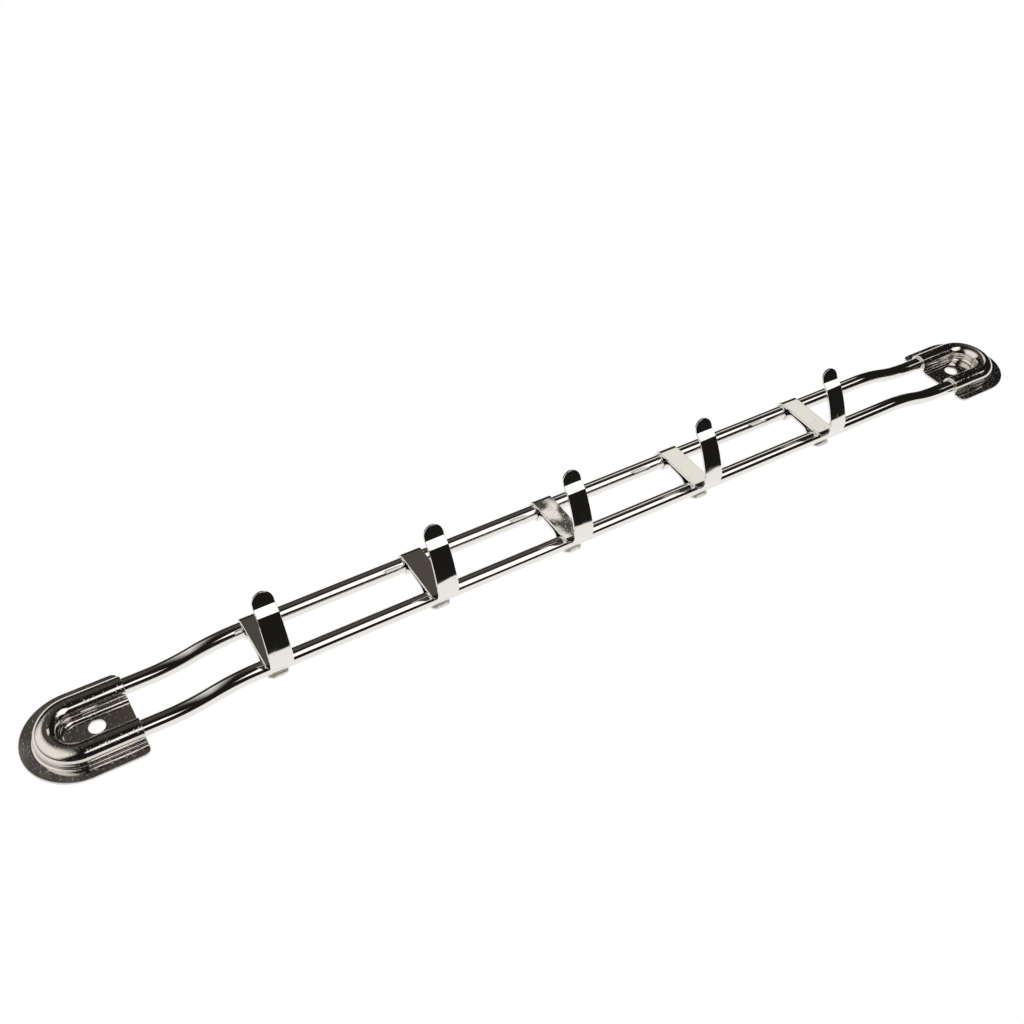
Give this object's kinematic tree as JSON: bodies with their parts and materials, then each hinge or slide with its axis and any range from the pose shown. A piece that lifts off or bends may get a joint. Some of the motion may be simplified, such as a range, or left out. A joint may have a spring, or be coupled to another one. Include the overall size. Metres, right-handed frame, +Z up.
{
  "type": "wall hook rack",
  "caption": "Wall rack with a closed loop of round rod held by stamped end brackets, and bent strip hooks that clip over the rods and slide along them.",
  "frame": {"origin": "on the wall plane, midway between the two screw holes", "axes": "+X along the rods, +Y into the wall, +Z up"},
  "size_m": [0.4552, 0.0396, 0.038],
  "materials": {
    "rod_chrome": "polished",
    "bracket_nickel": "polished, with light wear",
    "hook_chrome": "polished"
  },
  "bodies": {
    "rack": {"rod_loop": "rod_chrome", "left_end_bracket": "bracket_nickel", "right_end_bracket": "bracket_nickel"},
    "sliding_hook_1": {"hook_1": "hook_chrome"},
    "sliding_hook_2": {"hook_2": "hook_chrome"},
    "sliding_hook_3": {"hook_3": "hook_chrome"},
    "sliding_hook_4": {"hook_4": "hook_chrome"},
    "sliding_hook_5": {"hook_5": "hook_chrome"}
  },
  "joints": [
    {"name": "hook_1_slide", "type": "slide", "parent": "rack", "child": "sliding_hook_1", "axis": [1, 0, 0], "range_m": [-0.001, 0.027]},
    {"name": "hook_2_slide", "type": "slide", "parent": "rack", "child": "sliding_hook_2", "axis": [1, 0, 0], "range_m": [-0.027, 0.024]},
    {"name": "hook_3_slide", "type": "slide", "parent": "rack", "child": "sliding_hook_3", "axis": [1, 0, 0], "range_m": [-0.024, 0.026]},
    {"name": "hook_4_slide", "type": "slide", "parent": "rack", "child": "sliding_hook_4", "axis": [1, 0, 0], "range_m": [-0.026, 0.028]},
    {"name": "hook_5_slide", "type": "slide", "parent": "rack", "child": "sliding_hook_5", "axis": [1, 0, 0], "range_m": [-0.028, 0.035]}
  ]
}
